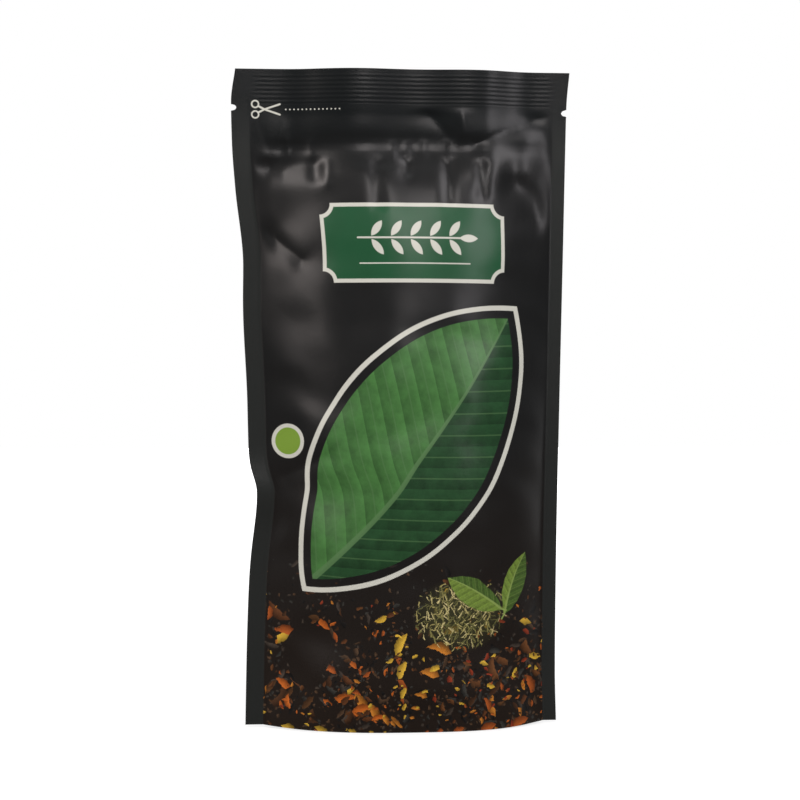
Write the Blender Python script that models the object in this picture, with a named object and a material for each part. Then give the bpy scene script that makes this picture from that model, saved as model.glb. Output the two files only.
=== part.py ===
# A resealable stand-up pouch of loose tea: filled, sealed and standing on its opened bottom gusset.
# Metres, +Z up. The printed front faces -Y and +X is to its right. The origin is on the surface that the
# pouch stands on, under the middle of its bounding box.

from math import pi

import bmesh
import bpy
import numpy as np

# Flat film and its welds
pouch_width = 0.124
pouch_height = 0.241
left_seal = 0.0065
right_seal = 0.0050
top_seal = 0.0135
seal_thickness = 0.0004

# Horizontal ribs pressed into the top seal
rib_pitch = 0.0016
rib_height = 0.00025
plain_edge = 0.0016

# Tear notches in the side seals, below the top seal
left_notch_from_top = 0.0142
right_notch_from_top = 0.0150
notch_depth = 0.0019
notch_half_height = 0.0012

# Press-to-close zip inside the pouch, which shows as a band with two ridges
zip_from_top = 0.0275
zip_height = 0.0060
zip_thickness = 0.0022
zip_ridge = 0.0005
zip_run_in = 0.125  # share of the body's full depth below which the zip is welded flat

# Front-to-back depth of the filled body, at shares of the height below the zip
body_depths = (
    (0.00, 0.0330),
    (0.06, 0.0352),
    (0.22, 0.0372),
    (0.40, 0.0390),
    (0.56, 0.0362),
    (0.73, 0.0305),
    (0.84, 0.0245),
    (0.93, 0.0150),
    (1.00, 0.0040),
)
front_share = 0.52  # of that depth lies in front of the side seals

# Power by which the body falls away from its middle to each side seal: higher is fuller
left_fullness = 2.1
right_fullness = 2.2
left_foot_fullness = 2.4
right_foot_fullness = 3.2
foot_reach = 0.75  # share of the height below the zip where the foot's fullness fades out
crease_run_in = 0.25  # share of the body's full depth below which dents and gathers fade out

# How far the filled body draws each side edge in from the flat width, at shares of the pouch's height
left_draw = (
    (0.00, 0.0044),
    (0.10, 0.0048),
    (0.30, 0.0059),
    (0.49, 0.0052),
    (0.65, 0.0036),
    (0.70, 0.0037),
    (0.82, 0.0008),
    (0.89, -0.0004),
    (0.95, -0.0007),
    (1.00, 0.0008),
)
right_draw = (
    (0.00, 0.0045),
    (0.08, 0.0049),
    (0.25, 0.0045),
    (0.49, 0.0033),
    (0.74, 0.0019),
    (0.89, 0.0011),
    (0.95, 0.0007),
    (1.00, -0.0004),
)

# The left side seal has buckled at the waist
kink_height = 0.0860
kink_draw = 0.0028
kink_above = 0.0080
kink_below = 0.0190
kink_forward = 0.0022
kink_run_out = 0.0225

# The top of the pouch bows towards the front, with a ripple along it
top_bow = 0.0046
top_ripple = 0.0011
ripple_pitch = 0.046
ripple_shift = 0.018
bow_fade = 0.095
bow_run_in = 0.026
rib_run_in = 0.004

# Small upright gathers where the body fills out below the zip
gather_pitch = 0.0145
gather_depth = 0.0011
gather_length = 0.022
gather_start = 0.25  # share of that length over which they begin

# The bottom gusset, opened out: a curved weld joins it to the front and back film
gusset_height = 0.035
weld_power = 3  # how late the weld turns up towards the side seals
skirt_height = 0.0045
skirt_thickness = 0.0006
skirt_step = 0.0008
skirt_step_rise = 0.009
foot_half_length = 0.022
fold_power = 1.25  # how late the gusset's fold rises beyond the flat middle
foot_share = 0.52  # of the way out to the walls that the middle of the gusset lies flat
corner_lift = 0.0008
corner_power = 4  # how near the corners that lift starts
lift_height = 0.018

# Dents in the front film: start x, start height, end x, end height, half width, depth
front_dents = (
    (-0.0500, 0.0880, -0.0180, 0.1080, 0.0060, 0.0026),
    (-0.0480, 0.0790, -0.0240, 0.0640, 0.0070, -0.0009),
    (-0.0560, 0.1900, -0.0300, 0.2020, 0.0065, 0.0022),
    (0.0140, 0.2010, 0.0240, 0.1780, 0.0060, 0.0015),
    (0.0520, 0.2030, 0.0300, 0.1880, 0.0065, 0.0020),
    (-0.0200, 0.1950, -0.0140, 0.1500, 0.0080, 0.0013),
    (0.0360, 0.1500, 0.0480, 0.1000, 0.0085, 0.0012),
    (-0.0420, 0.1650, -0.0360, 0.1250, 0.0080, 0.0012),
    (0.0500, 0.0060, 0.0330, 0.0300, 0.0075, 0.0016),
    (-0.0500, 0.0100, -0.0330, 0.0340, 0.0080, 0.0014),
)
back_dents = (
    (0.0500, 0.0900, 0.0200, 0.1060, 0.0065, 0.0024),
    (-0.0500, 0.1960, -0.0280, 0.1840, 0.0070, 0.0020),
    (0.0480, 0.2000, 0.0260, 0.1870, 0.0070, 0.0020),
    (0.0000, 0.1900, 0.0040, 0.1450, 0.0085, 0.0014),
    (-0.0450, 0.0120, -0.0280, 0.0360, 0.0080, 0.0015),
)

# Mesh fineness
body_rows = 27
gather_rows = 4
panel_columns = 34
gusset_columns = 8
least_row_gap = 0.0002

# Places worked out from the sizes
rib_top = pouch_height - plain_edge
rib_count = int((top_seal - plain_edge) / rib_pitch)
seal_bottom = pouch_height - top_seal
zip_low = pouch_height - zip_from_top - zip_height / 2
zip_top = zip_low + zip_height
film_between_seals = pouch_width - left_seal - right_seal


def smooth_through(stations, places):
    # Cubic pieces through (place, value) pairs, with level tangents at the turning points.
    at, value = np.array(stations, float).T
    rise = np.diff(value) / np.diff(at)
    before, after = rise[:-1], rise[1:]
    same_way = before * after > 0
    total = np.where(same_way, before + after, 1.0)
    slope = np.zeros(len(at))
    slope[1:-1] = np.where(same_way, 2 * before * after / total, 0.0)
    slope[0], slope[-1] = rise[0], rise[-1]
    places = np.clip(places, at[0], at[-1])
    i = np.clip(np.searchsorted(at, places, side="right") - 1, 0, len(at) - 2)
    span = at[i + 1] - at[i]
    t = (places - at[i]) / span
    return (
        (2 * t**3 - 3 * t**2 + 1) * value[i]
        + (t**3 - 2 * t**2 + t) * span * slope[i]
        + (3 * t**2 - 2 * t**3) * value[i + 1]
        + (t**3 - t**2) * span * slope[i + 1]
    )


def ease(t):
    # 0 up to 0, 1 from 1, and a smooth step between.
    t = np.clip(t, 0.0, 1.0)
    return t * t * (3 - 2 * t)


def row_heights():
    # Heights of the mesh rows: even over the body, closer at the gathers, zip, notches and ribs.
    gather_low = zip_low - gather_length
    ribs = rib_top - 0.5 * rib_pitch * np.arange(2 * rib_count + 1)
    around_notch = np.array((-1.0, -0.7, 0.0, 0.7, 1.0)) * notch_half_height
    rows = np.concatenate(
        (
            np.linspace(0.0, gather_low, body_rows + 1),
            np.linspace(gather_low, zip_low, gather_rows + 1),
            np.linspace(zip_low, zip_top, 5),
            pouch_height - left_notch_from_top + around_notch,
            pouch_height - right_notch_from_top + around_notch,
            (seal_bottom, pouch_height),
            ribs,
        )
    )
    rows = np.sort(rows)
    return rows[np.concatenate(([True], np.diff(rows) > least_row_gap))]


def notch(height, from_top):
    # A round-ended bite out of the side edge.
    t = np.clip(np.abs(height - (pouch_height - from_top)) / notch_half_height, 0.0, 1.0)
    return notch_depth * np.sqrt(1 - t * t)


def side_edges(height):
    # x of the two uncut side edges: the flat width, less what the filled body draws in.
    share = height / pouch_height
    off = height - kink_height
    reach = np.where(off > 0, kink_above, kink_below)
    kink = kink_draw * np.exp(-((off / reach) ** 2))
    left = -pouch_width / 2 + smooth_through(left_draw, share) + kink
    right = pouch_width / 2 - smooth_through(right_draw, share)
    return left, right


def dent(x, height, dents):
    # Depth of all dents at a point: each is a rounded groove along its own short line.
    total = np.zeros(np.broadcast(x, height).shape)
    for x0, h0, x1, h1, half_width, depth in dents:
        dx, dh = x1 - x0, h1 - h0
        t = ((x - x0) * dx + (height - h0) * dh) / (dx * dx + dh * dh)
        near = np.clip(t, 0.0, 1.0)
        away = np.hypot(x - x0 - near * dx, height - h0 - near * dh)
        total = total + depth * np.exp(-((away / half_width) ** 2))
    return total


def weld_height(share):
    # Height of the curved weld between the gusset and the wall, at a share of the way across.
    return skirt_height + (gusset_height - skirt_height) * np.abs(2 * share - 1) ** weld_power


def crown(share, height):
    # 0 at the side seals and 1 in the middle. The right side is the fuller, most of all low down.
    low = 1 - ease(height / (foot_reach * zip_low))
    left_power = left_fullness + (left_foot_fullness - left_fullness) * low
    right_power = right_fullness + (right_foot_fullness - right_fullness) * low
    power = np.where(share < 0.5, left_power, right_power)
    return 1 - np.abs(2 * share - 1) ** power


def corner_rise(share, height):
    # How far the corners of the foot stand off the surface.
    fade = 1 - ease(height / lift_height)
    return corner_lift * np.abs(2 * share - 1) ** corner_power * fade


def wall(share, x, height, depth_share, dents):
    # Distance of the front or back film from the middle sheet.
    body = smooth_through(body_depths, height / zip_low) * depth_share
    body = body - skirt_step * (1 - ease((height - weld_height(share)) / skirt_step_rise))
    full = crown(share, height)
    below_zip = (zip_low - height) / gather_length
    gathers = np.cos(2 * pi * share * film_between_seals / gather_pitch)
    gathers = gather_depth * gathers * np.clip(below_zip / gather_start, 0, 1) * (1 - ease(below_zip))
    filled = body * full + (gathers - dent(x, height, dents)) * ease(full / crease_run_in)
    ridges = zip_ridge * np.cos(4 * pi * (height - zip_low) / zip_height)
    open_film = ease(full / zip_run_in)
    zipped = (zip_thickness / 2 - ridges) * open_film
    above = zip_thickness / 2 * ease((seal_bottom - height) / (seal_bottom - zip_top)) * open_film
    out = np.where(height < zip_low, filled, np.where(height < zip_top, zipped, above))
    return np.maximum(out, 0.0) + seal_thickness / 2


def middle_sheet(x, share, height):
    # y of the sheet halfway between front and back: the bow of the top, the ribs and the buckled seal.
    across = np.clip(share, 0.0, 1.0)
    from_seal = np.minimum(across, 1 - across) * film_between_seals
    bow = top_bow * np.sin(pi * across) + top_ripple * np.cos(2 * pi * (x + ripple_shift) / ripple_pitch)
    bow = bow * ease(1 - (pouch_height - height) / bow_fade) * ease(from_seal / bow_run_in)
    in_ribs = (height > rib_top - rib_count * rib_pitch) & (height < rib_top)
    ribs = np.where(in_ribs, rib_height * np.sin(2 * pi * (rib_top - height) / rib_pitch + pi / 2), 0.0)
    ribs = ribs * ease(from_seal / rib_run_in)
    off = 2 * (height - kink_height) / kink_below
    buckle = kink_forward * np.exp(-off * off) * ease(1 - across * film_between_seals / kink_run_out)
    return -bow + ribs - buckle


def film_grid():
    # Points of the front and the back film, as rows up the pouch and columns from left to right.
    height = row_heights()[:, None]
    left, right = side_edges(height)
    inner_left, inner_right = left + left_seal, right - right_seal
    even = np.linspace(0.0, 1.0, panel_columns + 1)
    share = 0.5 * even + 0.5 * (0.5 - 0.5 * np.cos(pi * even))
    panel_x = inner_left + (inner_right - inner_left) * share
    x = np.hstack(
        (
            left + notch(height, left_notch_from_top),
            panel_x,
            right - notch(height, right_notch_from_top),
        )
    )
    share = np.concatenate(([0.0], share, [1.0]))[None, :]
    share = np.broadcast_to(share, x.shape)
    height = np.broadcast_to(height, x.shape)
    middle = middle_sheet(x, share, height)
    front = middle - wall(share, x, height, front_share, front_dents)
    back = middle + wall(share, x, height, 1 - front_share, back_dents)
    z = height + corner_rise(share, height)
    return share, np.stack((x, front, z), axis=-1), np.stack((x, back, z), axis=-1)


def skirt_line(share, left, right, level, side):
    # A line along the inside of the front (side -1) or back (side 1) skirt, at a share of its height.
    height = level * weld_height(share)
    x = left + left_seal + (right - left - left_seal - right_seal) * share
    depth_share, dents = (front_share, front_dents) if side < 0 else (1 - front_share, back_dents)
    reach = wall(share, x, height, depth_share, dents) - skirt_thickness
    y = middle_sheet(x, share, height) + side * reach
    return np.stack((x, y, height + corner_rise(share, height)), axis=-1)


def gusset_lines(front_line, back_line, share):
    # The gusset's film between the two welds: flat on the surface in the middle, folded up at the ends.
    from_middle = np.abs(2 * share - 1) * film_between_seals / 2
    rise = np.clip((from_middle - foot_half_length) / (film_between_seals / 2 - foot_half_length), 0, 1)
    fold = gusset_height * rise**fold_power
    lines = []
    for k in range(1, gusset_columns):
        across = k / gusset_columns
        edge = ease((np.abs(2 * across - 1) - foot_share) / (1 - foot_share))
        line = front_line + (back_line - front_line) * across
        line[:, 2] = fold + (line[:, 2] - fold) * edge
        lines.append(line)
    return lines


class Shell:
    # Collects points and the faces between lines of points.
    def __init__(self):
        self.points = []
        self.faces = []

    def add(self, line):
        first = len(self.points)
        self.points.extend(map(tuple, line))
        return list(range(first, first + len(line)))

    def bridge(self, one, other):
        for i in range(len(one) - 1):
            self.faces.append((one[i], one[i + 1], other[i + 1], other[i]))


def pouch_shell():
    share, front_points, back_points = film_grid()
    shell = Shell()
    front = [shell.add(row) for row in front_points]
    back = [shell.add(row) for row in back_points]
    for sheet in (front, back):
        for low, high in zip(sheet, sheet[1:]):
            shell.bridge(low, high)
    for column in (0, -1):
        shell.bridge([row[column] for row in front], [row[column] for row in back])
    shell.bridge(front[-1], back[-1])

    # The recess under the base spans the columns whose walls stand clear of each other.
    deep = back_points[0, :, 1] - front_points[0, :, 1] > 6 * skirt_thickness
    columns = np.flatnonzero(deep)
    first, last = columns[0], columns[-1]
    shell.bridge(front[0][: first], back[0][: first])
    shell.bridge(front[0][last + 1 :], back[0][last + 1 :])

    across = share[0, columns]
    left, right = side_edges(0.0)
    front_skirt = [skirt_line(across, left, right, level, -1) for level in (0.0, 0.5, 1.0)]
    back_skirt = [skirt_line(across, left, right, level, 1) for level in (1.0, 0.5, 0.0)]
    gusset = gusset_lines(front_skirt[-1], back_skirt[0], across)
    recess = [shell.add(line) for line in (*front_skirt, *gusset, *back_skirt)]
    lines = [front[0][first : last + 1], *recess, back[0][first : last + 1]]
    for one, other in zip(lines, lines[1:]):
        shell.bridge(one, other)

    # Each end of the recess: a wall inside it, and the foot of the corner outside it.
    middle = len(recess) // 2
    for end, beside in ((0, first - 1), (-1, last + 1)):
        ring = [line[end] for line in recess]
        shell.bridge(ring[:middle], ring[: middle : -1])
        shell.faces.append((ring[middle - 1], ring[middle], ring[middle + 1]))
        corner = columns[end]
        foot = (front[0][beside], front[0][corner], ring[0], ring[-1], back[0][corner], back[0][beside])
        shell.faces.append(foot)
    return shell


def film_material():
    material = bpy.data.materials.new("printed_film")
    material.use_nodes = True
    finish = material.node_tree.nodes["Principled BSDF"]
    finish.inputs["Base Color"].default_value = (0.016, 0.017, 0.017, 1.0)
    finish.inputs["Roughness"].default_value = 0.38
    finish.inputs["Metallic"].default_value = 0.0
    return material


def make_pouch():
    shell = pouch_shell()
    points = np.array(shell.points)
    low, high = points.min(axis=0), points.max(axis=0)
    points[:, :2] -= (low[:2] + high[:2]) / 2
    mesh = bpy.data.meshes.new("tea_pouch")
    mesh.from_pydata(points.tolist(), [], shell.faces)
    bm = bmesh.new()
    bm.from_mesh(mesh)
    bmesh.ops.recalc_face_normals(bm, faces=bm.faces)
    bmesh.ops.triangulate(bm, faces=bm.faces, quad_method="SHORT_EDGE")
    bm.to_mesh(mesh)
    bm.free()
    mesh.shade_smooth()
    mesh.set_sharp_from_angle(angle=pi / 4)
    mesh.materials.append(film_material())
    pouch = bpy.data.objects.new("tea_pouch", mesh)
    bpy.context.scene.collection.objects.link(pouch)


for old in list(bpy.data.objects):
    bpy.data.objects.remove(old)
make_pouch()
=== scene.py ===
# Dresses the stand-up tea pouch: the film's finished surface, its print, and a plain pale studio.

from math import cos, pi, radians, sin

import bpy
import numpy as np
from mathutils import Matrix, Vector


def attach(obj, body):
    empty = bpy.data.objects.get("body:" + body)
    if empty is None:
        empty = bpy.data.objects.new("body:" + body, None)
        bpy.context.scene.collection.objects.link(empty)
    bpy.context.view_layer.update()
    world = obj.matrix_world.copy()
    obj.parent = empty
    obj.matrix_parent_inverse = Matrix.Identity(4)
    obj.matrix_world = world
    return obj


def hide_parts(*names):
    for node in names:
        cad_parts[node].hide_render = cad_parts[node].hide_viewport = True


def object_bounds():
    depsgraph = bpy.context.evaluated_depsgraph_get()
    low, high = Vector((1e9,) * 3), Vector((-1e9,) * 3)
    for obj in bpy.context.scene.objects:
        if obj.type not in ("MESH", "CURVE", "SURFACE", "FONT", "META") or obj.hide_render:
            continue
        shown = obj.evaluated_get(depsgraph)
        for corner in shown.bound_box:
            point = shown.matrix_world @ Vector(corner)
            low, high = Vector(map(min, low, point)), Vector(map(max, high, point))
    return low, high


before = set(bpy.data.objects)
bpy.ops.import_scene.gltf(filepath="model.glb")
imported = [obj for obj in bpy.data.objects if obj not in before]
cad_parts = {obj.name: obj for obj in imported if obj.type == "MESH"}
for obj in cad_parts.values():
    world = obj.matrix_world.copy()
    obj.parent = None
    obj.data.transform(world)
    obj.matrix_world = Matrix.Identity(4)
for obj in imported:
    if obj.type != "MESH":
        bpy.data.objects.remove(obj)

cadLow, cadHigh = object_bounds()
print("frame loaded:", sorted(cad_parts))

# The pouch. Lengths in metres.

pouch = {
    "height": cadHigh.z,
    "flatWidth": 0.124,
    "leftSeal": 0.0065,
    "rightSeal": 0.0050,
    "topSeal": 0.0135,
    "sealThickness": 0.0004,
    "frontShare": 0.52,  # of the body's depth lies in front of the side seals
    "notchDepth": 0.0019,
    "notchHalfHeight": 0.0012,
    "notchFromTop": (0.0142, 0.0150),  # left, right
}

ribs = {"pitch": 0.0016, "height": 0.00003, "plainEdge": 0.0016, "runIn": 0.004}

zipBand = {
    "fromTop": 0.0275,
    "height": 0.0060,
    "thickness": 0.0022,
    "ridge": -0.00001,  # negative stands proud
    "runIn": 0.45,
    "creaseRunIn": 0.0050,
}

# Depth of the filled body at shares of the height below the zip
bodyDepths = (
    (0.00, 0.0330), (0.06, 0.0352), (0.22, 0.0372), (0.40, 0.0390), (0.56, 0.0362),
    (0.73, 0.0305), (0.84, 0.0245), (0.93, 0.0150), (1.00, 0.0040),
)

# How far each side edge is drawn in, at shares of the whole height
leftDraw = (
    (0.00, 0.0044), (0.10, 0.0048), (0.30, 0.0059), (0.49, 0.0052), (0.65, 0.0036),
    (0.70, 0.0037), (0.82, 0.0008), (0.89, -0.0004), (0.95, -0.0007), (1.00, 0.0008),
)
rightDraw = (
    (0.00, 0.0045), (0.08, 0.0049), (0.25, 0.0045), (0.49, 0.0033), (0.74, 0.0019),
    (0.89, 0.0011), (0.95, 0.0007), (1.00, -0.0004),
)

fullness = {
    "left": 2.1,
    "right": 2.2,
    "leftFoot": 2.4,
    "rightFoot": 3.2,
    "footReach": 0.75,
    "creaseRunIn": 0.25,
}

kink = {
    "height": 0.0860,
    "draw": 0.0028,
    "above": 0.0080,
    "below": 0.0190,
    "forward": 0.0016,
    "runOut": 0.0225,
}

bow = {
    "depth": 0.0046,
    "ripple": 0.0011,
    "ripplePitch": 0.046,
    "rippleShift": 0.018,
    "fade": 0.095,
    "runIn": 0.026,
}

gusset = {
    "height": 0.035,
    "weldPower": 3,
    "skirt": 0.0045,
    "skirtThickness": 0.0006,
    "skirtStep": 0.0004,
    "skirtStepRise": 0.009,
    "flatHalfLength": 0.022,
    "foldPower": 1.25,
    "flatShare": 0.52,
    "cornerLift": 0.0008,
    "cornerPower": 4,
    "liftHeight": 0.018,
    "recessFrom": 6,  # skirt thicknesses from the front film to the back film
    "skirtLevels": 5,
    "filmSteps": 20,
}

# Dents: start x, start height, end x, end height, half width, depth (negative stands proud)
frontDents = (
    (-0.0530, 0.2065, -0.0342, 0.2050, 0.0060, 0.0006),
    (-0.0480, 0.0790, -0.0240, 0.0640, 0.0080, -0.0006),
    (0.0420, 0.1975, 0.0520, 0.1870, 0.0070, 0.0008),
    (-0.0190, 0.1950, -0.0150, 0.1500, 0.0090, 0.0007),
    (0.0500, 0.0060, 0.0330, 0.0300, 0.0075, 0.0012),
    (-0.0500, 0.0100, -0.0330, 0.0340, 0.0080, 0.0010),
)
# Folds of the front film, written as the dents are
frontFolds = (
    (-0.0590, 0.1890, -0.0371, 0.1705, 0.0050, 0.0016),
    (-0.0560, 0.0860, -0.0280, 0.1000, 0.0060, 0.0009),
    (-0.0560, 0.2060, -0.0440, 0.2030, 0.0030, 0.0005),
)
backDents = (
    (0.0500, 0.0900, 0.0200, 0.1060, 0.0070, 0.0013),
    (-0.0500, 0.1960, -0.0280, 0.1840, 0.0070, 0.0020),
    (0.0480, 0.2000, 0.0260, 0.1870, 0.0070, 0.0020),
    (0.0000, 0.1900, 0.0040, 0.1450, 0.0085, 0.0014),
    (-0.0450, 0.0120, -0.0280, 0.0360, 0.0080, 0.0015),
)

# Upright gathers below the zip, where flat film turns into a filled body: x, top, bottom, half width, depth
gathers = (
    (-0.0318, 0.2068, 0.2012, 0.0026, 0.00060),
    (-0.0278, 0.2060, 0.1985, 0.0016, -0.00025),
    (-0.0097, 0.2078, 0.1912, 0.0028, 0.00055),
    (0.0015, 0.2072, 0.2030, 0.0022, 0.00065),
    (0.0163, 0.2070, 0.1928, 0.0026, 0.00060),
    (0.0286, 0.2062, 0.1948, 0.0025, 0.00060),
    (0.0410, 0.2080, 0.2000, 0.0036, 0.00030),
)
backGathers = tuple((-x * 0.93 + 0.003, top, low, wide, deep) for x, top, low, wide, deep in gathers)

# Crumples of both films between the zip and the top seal, written as the dents are
crumples = (
    (0.0360, 0.2065, 0.0500, 0.2085, 0.0090, -0.00170),
    (0.0440, 0.2185, 0.0560, 0.2150, 0.0060, -0.00060),
    (-0.0400, 0.2128, 0.0170, 0.2128, 0.0095, 0.00110),
)
crumpleFolds = (
    (0.0270, 0.2140, 0.0540, 0.2245, 0.0035, 0.00110),
    (0.0215, 0.2275, 0.0225, 0.2175, 0.0030, -0.00070),
    (0.0090, 0.2255, 0.0170, 0.2165, 0.0030, 0.00050),
    (-0.0530, 0.2215, -0.0490, 0.2115, 0.0022, 0.00030),
    (-0.0440, 0.2205, -0.0475, 0.2110, 0.0018, -0.00012),
    (-0.0423, 0.2150, -0.0420, 0.2105, 0.0010, -0.00022),
    (-0.0338, 0.2140, -0.0336, 0.2090, 0.0010, -0.00022),
    (-0.0039, 0.2140, -0.0037, 0.2090, 0.0010, -0.00025),
    (0.0014, 0.2140, 0.0013, 0.2095, 0.0010, -0.00022),
    (0.0078, 0.2140, 0.0078, 0.2090, 0.0010, -0.00025),
    (0.0175, 0.2140, 0.0173, 0.2090, 0.0010, -0.00025),
)
crease = {"radius": 0.0004, "crumpleRunIn": 0.012}

zipLow = pouch["height"] - zipBand["fromTop"] - zipBand["height"] / 2
zipTop = zipLow + zipBand["height"]
sealBottom = pouch["height"] - pouch["topSeal"]
ribTop = pouch["height"] - ribs["plainEdge"]
ribCount = int((pouch["topSeal"] - ribs["plainEdge"]) / ribs["pitch"])
openWidth = pouch["flatWidth"] - pouch["leftSeal"] - pouch["rightSeal"]


def ease(t):
    # 3t^2 - 2t^3 with t held between 0 and 1
    t = np.clip(t, 0.0, 1.0)
    return t * t * (3 - 2 * t)


def smoothThrough(stations, places):
    # Hermite cubics through (place, value) pairs; the slope at a pair is the harmonic mean of its two
    # chords, or level where the chords turn, so nothing overshoots
    at, value = np.array(stations, float).T
    rise = np.diff(value) / np.diff(at)
    sameWay = rise[:-1] * rise[1:] > 0
    total = np.where(sameWay, rise[:-1] + rise[1:], 1.0)
    slope = np.zeros(len(at))
    slope[1:-1] = np.where(sameWay, 2 * rise[:-1] * rise[1:] / total, 0.0)
    slope[0], slope[-1] = rise[0], rise[-1]
    places = np.clip(places, at[0], at[-1])
    i = np.clip(np.searchsorted(at, places, side="right") - 1, 0, len(at) - 2)
    span = at[i + 1] - at[i]
    t = (places - at[i]) / span
    return (
        (2 * t**3 - 3 * t**2 + 1) * value[i]
        + (t**3 - 2 * t**2 + t) * span * slope[i]
        + (3 * t**2 - 2 * t**3) * value[i + 1]
        + (t**3 - t**2) * span * slope[i + 1]
    )


def sideEdges(height):
    # half the flat width, less the draw at that height, less a one-sided bell at the kink on the left
    share = height / pouch["height"]
    off = height - kink["height"]
    reach = np.where(off > 0, kink["above"], kink["below"])
    bell = kink["draw"] * np.exp(-((off / reach) ** 2))
    left = -pouch["flatWidth"] / 2 + smoothThrough(leftDraw, share) + bell
    right = pouch["flatWidth"] / 2 - smoothThrough(rightDraw, share)
    return left, right


def notch(height, fromTop):
    # half an ellipse bitten out of the edge
    t = np.clip(np.abs(height - (pouch["height"] - fromTop)) / pouch["notchHalfHeight"], 0.0, 1.0)
    return pouch["notchDepth"] * np.sqrt(1 - t * t)


def fromLine(x, height, x0, h0, x1, h1):
    # distance to a straight line between two places
    dx, dh = x1 - x0, h1 - h0
    near = np.clip(((x - x0) * dx + (height - h0) * dh) / (dx * dx + dh * dh), 0.0, 1.0)
    return np.hypot(x - x0 - near * dx, height - h0 - near * dh)


def grooves(x, height, dents):
    # sum of depth * exp(-(distance to the dent's own line / half width)^2)
    total = np.zeros(np.broadcast(x, height).shape)
    for *line, halfWidth, depth in dents:
        total = total + depth * np.exp(-((fromLine(x, height, *line) / halfWidth) ** 2))
    return total


def creases(x, height, folds):
    # sum of depth * exp(-(length(distance, radius) - radius) / half width), so each falls away from a
    # sharp line
    total = np.zeros(np.broadcast(x, height).shape)
    for *line, halfWidth, depth in folds:
        away = np.hypot(fromLine(x, height, *line), crease["radius"]) - crease["radius"]
        total = total + depth * np.exp(-away / halfWidth)
    return total


def weldHeight(share):
    # low in the middle and rising as |2s - 1|^power to the side seals
    rise = np.abs(2 * share - 1) ** gusset["weldPower"]
    return gusset["skirt"] + (gusset["height"] - gusset["skirt"]) * rise


def crown(share, height):
    # 1 - |2s - 1|^power: 0 at the side seals, 1 in the middle, with a higher power near the foot
    low = 1 - ease(height / (fullness["footReach"] * zipLow))
    leftPower = fullness["left"] + (fullness["leftFoot"] - fullness["left"]) * low
    rightPower = fullness["right"] + (fullness["rightFoot"] - fullness["right"]) * low
    return 1 - np.abs(2 * share - 1) ** np.where(share < 0.5, leftPower, rightPower)


def cornerRise(share, height):
    # lift * |2s - 1|^power, fading out up the pouch
    fade = 1 - ease(height / gusset["liftHeight"])
    return gusset["cornerLift"] * np.abs(2 * share - 1) ** gusset["cornerPower"] * fade


def wall(share, x, height, depthShare, dents, folds, upright):
    # distance of a film from the middle sheet: depth(height) * crown below the zip, less dents, folds and
    # gathers; over the zip what is left runs out as (left + (2 * left - fall) * t) * (1 - t)^2, which goes on
    # at the body's own slope; closing to nothing at the top seal
    body = smoothThrough(bodyDepths, height / zipLow) * depthShare
    body = body - gusset["skirtStep"] * (1 - ease((height - weldHeight(share)) / gusset["skirtStepRise"]))
    full = crown(share, height)
    lines = tuple((gx, top, gx, low, wide, deep) for gx, top, low, wide, deep in upright)
    pressed = grooves(x, height, dents) + creases(x, height, folds) + grooves(x, height, lines)
    pressed = pressed * ease(full / fullness["creaseRunIn"])
    pressed = pressed * ease((zipLow - height) / zipBand["creaseRunIn"])
    filled = body * full - pressed
    openFilm = ease(full / zipBand["runIn"])
    ridges = zipBand["ridge"] * (1 - np.cos(4 * pi * (height - zipLow) / zipBand["height"]))
    t = np.clip((height - zipLow) / zipBand["height"], 0.0, 1.0)
    (shareBelow, depthBelow), (_, lastDepth) = bodyDepths[-2:]
    fall = (depthBelow - lastDepth) / ((1 - shareBelow) * zipLow) * zipBand["height"] * depthShare * full
    left = lastDepth * depthShare * full - zipBand["thickness"] / 2 * openFilm
    zipped = (zipBand["thickness"] / 2 - ridges) * openFilm + (left + (2 * left - fall) * t) * (1 - t) ** 2
    above = zipBand["thickness"] / 2 * ease((sealBottom - height) / (sealBottom - zipTop)) * openFilm
    out = np.where(height < zipLow, filled, np.where(height < zipTop, zipped, above))
    return np.maximum(out, 0.0) + pouch["sealThickness"] / 2


def middleSheet(x, share, height):
    # y halfway between the films: minus a bow with a ripple at the top, plus ribs, minus the buckle, plus
    # the crumples above the zip
    fromSeal = np.minimum(share, 1 - share) * openWidth
    curve = bow["depth"] * np.sin(pi * share)
    curve = curve + bow["ripple"] * np.cos(2 * pi * (x + bow["rippleShift"]) / bow["ripplePitch"])
    curve = curve * ease(1 - (pouch["height"] - height) / bow["fade"]) * ease(fromSeal / bow["runIn"])
    inRibs = (height > ribTop - ribCount * ribs["pitch"]) & (height < ribTop)
    wave = ribs["height"] * np.cos(2 * pi * (ribTop - height) / ribs["pitch"])
    wave = np.where(inRibs, wave, 0.0) * ease(fromSeal / ribs["runIn"])
    off = 2 * (height - kink["height"]) / kink["below"]
    buckle = kink["forward"] * np.exp(-off * off) * ease(1 - share * openWidth / kink["runOut"])
    crumple = grooves(x, height, crumples) + creases(x, height, crumpleFolds)
    crumple = crumple * ease((sealBottom - height) / ribs["runIn"]) * ease(fromSeal / crease["crumpleRunIn"])
    return -curve + wave - buckle + crumple


def filmPoint(side, share, x, height):
    # (x, middle sheet -/+ wall, height + corner rise) for the front (side -1) or the back (side 1)
    front = side < 0
    depthShare = pouch["frontShare"] if front else 1 - pouch["frontShare"]
    dents, folds, upright = (frontDents, frontFolds, gathers) if front else (backDents, (), backGathers)
    y = middleSheet(x, share, height) + side * wall(share, x, height, depthShare, dents, folds, upright)
    return np.stack(np.broadcast_arrays(x, y, height + cornerRise(share, height)), axis=-1)


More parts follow.
